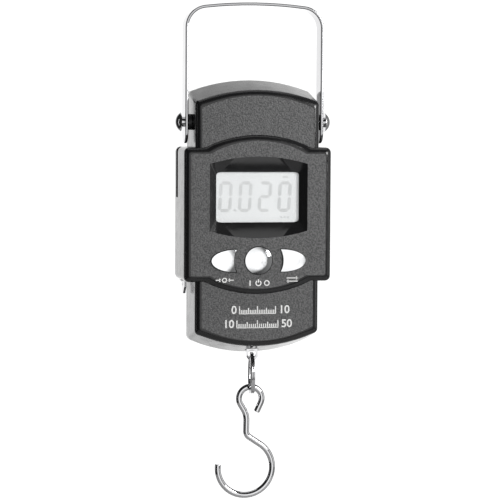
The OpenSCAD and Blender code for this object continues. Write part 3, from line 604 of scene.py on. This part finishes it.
digits_bm = bmesh.new()
for i, mark in enumerate("0020"):
    digit(digits_bm, mark, on_display((i - 1.5) * DIGIT_PITCH - DIGITS_LEFT, DIGITS_UP), DIGIT_HEIGHT)
bar(digits_bm, on_display(-10.5, -6.2), 1.5 * MM, 1.4 * MM, False, 0)
for i in range(3):
    bar(digits_bm, on_display(11.6 + i * 1.6, -9.4), 1.3 * MM, 0.9 * MM, False, 0)
bar(digits_bm, on_display(13.4, 9.4), 3.0 * MM, 1.0 * MM, False, 0)
keep_piece(digits_bm, "display_segments", "housing", [segment_grey])

# %% [markdown]
# ## Printed marks
# White ink marks sit under the buttons and on the lower face. Makers print words there; these are plain
# signs instead: a zero between arrows, a power sign, two opposed arrows, and a rule with round numbers.
# Ink is a few hundredths of a millimetre thick, so each mark is a very thin raised piece.

# %% Ink tools
ARROW_STROKE = 0.45 * MM
ink_bm = bmesh.new()


def ink_bar(x, z, width, height, y):
    made = bmesh.ops.create_cube(ink_bm, size=1.0)
    bmesh.ops.scale(ink_bm, vec=(width, 2 * INK, height), verts=made["verts"])
    bmesh.ops.translate(ink_bm, verts=made["verts"], vec=(x, y, z))
    return made["verts"]


def ink_arc(x, z, radius, width, y, start=0.0, sweep=360.0):
    first = ink_bar(x + radius, z, width, 0.001 * MM, y)
    face = next(f for f in {f for v in first for f in v.link_faces} if f.normal.z > 0.9)
    faces = {f for v in first for f in v.link_faces if f is not face}
    bmesh.ops.delete(ink_bm, geom=list(faces), context="FACES")
    turn = Matrix.Rotation(math.radians(-start), 3, "Y")
    bmesh.ops.rotate(ink_bm, verts=list(face.verts), cent=(x, y, z), matrix=turn)
    bmesh.ops.spin(ink_bm, geom=[face], cent=(x, y, z), axis=(0, -1, 0), angle=math.radians(sweep),
                   steps=max(6, int(sweep / 12)), use_merge=False)


def ink_arrow(x, z, length, y, way):
    ink_bar(x, z, length, ARROW_STROKE, y)
    for tilt in (-40, 40):
        verts = ink_bar(x + way * length / 2 - way * 0.42 * MM, z, 1.2 * MM, ARROW_STROKE, y)
        tip_at = (x + way * length / 2, y, z)
        bmesh.ops.rotate(ink_bm, verts=verts, cent=tip_at, matrix=Matrix.Rotation(math.radians(tilt), 3, "Y"))


def ink_number(text, x, z, height, y):
    curve = bpy.data.curves.new("number", "FONT")
    curve.body = text
    curve.size = height
    curve.offset = 0.1 * MM
    curve.extrude = INK
    curve.align_x = "CENTER"
    curve.align_y = "CENTER"
    holder = bpy.data.objects.new("number", curve)
    bpy.context.scene.collection.objects.link(holder)
    bpy.context.view_layer.update()
    mesh = bpy.data.meshes.new_from_object(holder)
    mesh.transform(Matrix.Translation((x, y, z)) @ Matrix.Rotation(math.pi / 2, 4, "X"))
    ink_bm.from_mesh(mesh)
    bpy.data.objects.remove(holder)
    bpy.data.curves.remove(curve)
    bpy.data.meshes.remove(mesh)


# %% Print the marks
STROKE = 0.5 * MM
sign_z = button_row_z - 9.0 * MM
left_x = middle_of("tare_button").x
right_x = middle_of("unit_button").x
ink_arc(left_x, sign_z, 0.95 * MM, STROKE, face_y)
ink_arrow(left_x - 3.0 * MM, sign_z, 2.6 * MM, face_y, 1)
ink_arrow(left_x + 3.0 * MM, sign_z, 2.6 * MM, face_y, -1)
low_z = sign_z - 1.5 * MM
ink_arc(0, low_z, 1.2 * MM, STROKE, face_y, 120, 300)
ink_bar(0, low_z + 1.0 * MM, 0.5 * MM, 1.5 * MM, face_y)
ink_bar(-4.0 * MM, low_z, 0.6 * MM, 2.6 * MM, face_y)
ink_arc(4.0 * MM, low_z, 1.1 * MM, STROKE, face_y)
ink_arrow(right_x, sign_z + 0.75 * MM, 5.2 * MM, face_y, 1)
ink_arrow(right_x, sign_z - 0.75 * MM, 5.2 * MM, face_y, -1)

lower_face_y = face_y + 1.8 * MM
rule_top = middle_of("power_button").z - 23.3 * MM
for row, (first_mark, last_mark) in enumerate((("0", "10"), ("10", "50"))):
    z = rule_top - row * 6.6 * MM
    half = (8.6 + 1.2 * row) * MM
    ink_number(first_mark, -half - (2.6 + 1.3 * row) * MM, z, 5.2 * MM, lower_face_y)
    ink_number(last_mark, half + 4.2 * MM, z, 5.2 * MM, lower_face_y)
    ticks = 21
    for i in range(ticks):
        tall = 3.4 * MM if i % 10 == 0 else 2.6 * MM if i % 5 == 0 else 1.7 * MM
        x = -half + 2 * half * i / (ticks - 1)
        ink_bar(x, z - 1.6 * MM + tall / 2, 0.5 * MM, tall, lower_face_y)
    ink_bar(0, z - 1.7 * MM, 2 * half + 0.45 * MM, 0.35 * MM, lower_face_y)
bmesh.ops.recalc_face_normals(ink_bm, faces=ink_bm.faces)
keep_piece(ink_bm, "printed_marks", "housing", [print_white])

# %% [markdown]
# ## Finishes for the parts that keep their own mesh
# Inner parts are already the right shape, so they only need their material slot filled.

# %% Assign the rest
finishes = {
    "lcd_window": lens_clear, "lcd_glass": lcd_grey, "lcd_backlight": diffuser, "lcd_frame": white_plastic,
    "lcd_contact_strip": rubber_pink, "circuit_board": board_green, "board_screws": zinc,
    "chip_cover": resin, "board_parts": part_brown, "backlight_led": diffuser, "switch_bodies": dark_plastic,
    "tare_plunger": dark_plastic, "power_plunger": dark_plastic, "unit_plunger": dark_plastic,
    "load_cell": milled, "strain_gauges": gauge_amber, "gauge_wires": red_wire, "battery_wires": red_wire,
    "cross_bar": zinc, "lug_pin": zinc, "batteries": battery_sleeve, "contact_springs": spring_steel,
    "contact_plates": zinc, "housing_screws": zinc, "tape_reel": white_plastic, "tape_coil": tape_yellow,
    "tape_spring": spring_steel, "tape_plate": zinc, "tape_plate_screw": zinc, "tape_blade": tape_yellow,
    "tape_rivets": zinc,
    "front_shell": polished, "back_shell": polished, "battery_cover": polished, "pivot_bushes": dark_plastic,
    "handle_strap": strap_steel, "pivot_screws": wire_steel, "hook_lug": wire_steel, "tape_tab": strap_steel,
    "tare_button": chrome, "power_button": chrome, "unit_button": chrome, "split_ring": wire_steel,
    "hook": wire_steel,
}
for node, material in finishes.items():
    mesh = frame["nodes"][node].data
    mesh.materials.clear()
    mesh.materials.append(material)
print("nodes with a finish:", len(finishes), "of", len(frame["nodes"]))

# %% [markdown]
# ## Studio
# The scale hangs over a pale floor in a bright room. The light behind and beside it is strong and the light
# from the camera's side is weak, so black gloss stays black from the front and goes white at its edges. The
# floor looks white to the camera but gives reflections little light, so edges that face down stay dark.

# %% World, lights and floor


def studio_world():
    """Bright ahead in a narrow cone, dark round it, bright again behind the scale, a little light from +X."""
    world = bpy.data.worlds.new("studio")
    bpy.context.scene.world = world
    world.use_nodes = True
    tree = world.node_tree
    background = tree.nodes["Background"]
    where = tree.nodes.new("ShaderNodeTexCoord")
    split = tree.nodes.new("ShaderNodeSeparateXYZ")
    tree.links.new(where.outputs["Generated"], split.inputs["Vector"])
    depth = tree.nodes.new("ShaderNodeMapRange")
    depth.inputs["From Min"].default_value = -1.0
    depth.inputs["From Max"].default_value = 1.0
    tree.links.new(split.outputs["Y"], depth.inputs["Value"])
    ramp = tree.nodes.new("ShaderNodeValToRGB")
    stops = ((0.0, 0.95), (0.035, 0.85), (0.07, 0.02), (0.82, 0.02), (0.93, 1.0), (1.0, 1.0))
    for place, level in stops[1:-1]:
        ramp.color_ramp.elements.new(place)
    for element, (place, level) in zip(ramp.color_ramp.elements, stops):
        element.position = place
        element.color = (level, level, level, 1)
    tree.links.new(depth.outputs["Result"], ramp.inputs["Fac"])
    path = tree.nodes.new("ShaderNodeLightPath")
    pick = tree.nodes.new("ShaderNodeMix")
    pick.inputs["B"].default_value = 1.15
    tree.links.new(path.outputs["Is Camera Ray"], pick.inputs["Factor"])
    lift = tree.nodes.new("ShaderNodeMath")
    lift.operation = "MULTIPLY"
    side = tree.nodes.new("ShaderNodeMapRange")
    side.inputs["From Min"].default_value = 0.1
    side.inputs["From Max"].default_value = 0.9
    side.inputs["To Max"].default_value = 0.2
    tree.links.new(split.outputs["X"], side.inputs["Value"])
    both = tree.nodes.new("ShaderNodeMath")
    tree.links.new(ramp.outputs["Color"], both.inputs[0])
    tree.links.new(side.outputs["Result"], both.inputs[1])
    tree.links.new(both.outputs["Value"], lift.inputs[0])
    height = tree.nodes.new("ShaderNodeMapRange")
    height.inputs["To Min"].default_value = 1.4
    height.inputs["To Max"].default_value = 0.85
    tree.links.new(split.outputs["Z"], height.inputs["Value"])
    tree.links.new(height.outputs["Result"], lift.inputs[1])
    tree.links.new(lift.outputs["Value"], pick.inputs["A"])
    tree.links.new(pick.outputs["Result"], background.inputs["Strength"])
    background.inputs["Color"].default_value = (1, 1, 1, 1)


def soft_light(name, place, target, size, power):
    data = bpy.data.lights.new(name, "AREA")
    data.shape = "RECTANGLE"
    data.size, data.size_y = size
    data.energy = power
    light = bpy.data.objects.new(name, data)
    light.location = place
    light.rotation_euler = (Vector(target) - Vector(place)).to_track_quat("-Z", "Y").to_euler()
    bpy.context.scene.collection.objects.link(light)


studio_world()
aim = (0, 0, -0.11)
soft_light("key", (0.42, -0.5, 0.1), aim, (0.2, 0.3), 3.0)
soft_light("right_window", (0.9, -0.3, 0.05), aim, (0.3, 0.9), 1.0)
soft_light("left_strip", (-0.9, 0, -0.1), aim, (0.06, 0.8), 0.25)
soft_light("ceiling", (0, 0.25, 0.9), aim, (1.0, 1.0), 3)

floor_bm = bmesh.new()
bmesh.ops.create_grid(floor_bm, x_segments=1, y_segments=1, size=0.3)
bmesh.ops.translate(floor_bm, verts=floor_bm.verts, vec=(0, 0, cad_box[0].z - 0.12))
floor_mesh = bpy.data.meshes.new("floor")
floor_bm.to_mesh(floor_mesh)
floor_bm.free()
floor = bpy.data.objects.new("floor", floor_mesh)
bpy.context.scene.collection.objects.link(floor)
floor_material, floor_tree, floor_shader = new_material("floor_white", (0.7, 0.7, 0.7), 0.9)
floor_shader.inputs["Emission Color"].default_value = (1, 1, 1, 1)
seen_directly = floor_tree.nodes.new("ShaderNodeLightPath")
floor_tree.links.new(seen_directly.outputs["Is Camera Ray"], floor_shader.inputs["Emission Strength"])
floor_mesh.materials.append(floor_material)

# %% Camera
azimuth, elevation, roll = math.radians(-11.5), math.radians(3.8), math.radians(0.3)
distance = 0.985
look_at = Vector((-0.00106, 0, -0.1149))
back_way = Vector((math.sin(azimuth) * math.cos(elevation), -math.cos(azimuth) * math.cos(elevation),
                   math.sin(elevation)))
camera_data = bpy.data.cameras.new("camera")
camera_data.lens = 149.8
camera_data.sensor_width = 36
camera_data.clip_start = 0.05
camera = bpy.data.objects.new("camera", camera_data)
camera.location = look_at + back_way * distance
camera.rotation_mode = "QUATERNION"
facing = (-back_way).to_track_quat("-Z", "Y")
camera.rotation_quaternion = facing @ Matrix.Rotation(roll, 3, "Z").to_quaternion()
bpy.context.scene.collection.objects.link(camera)
bpy.context.scene.camera = camera
bpy.context.scene.view_settings.view_transform = "Standard"
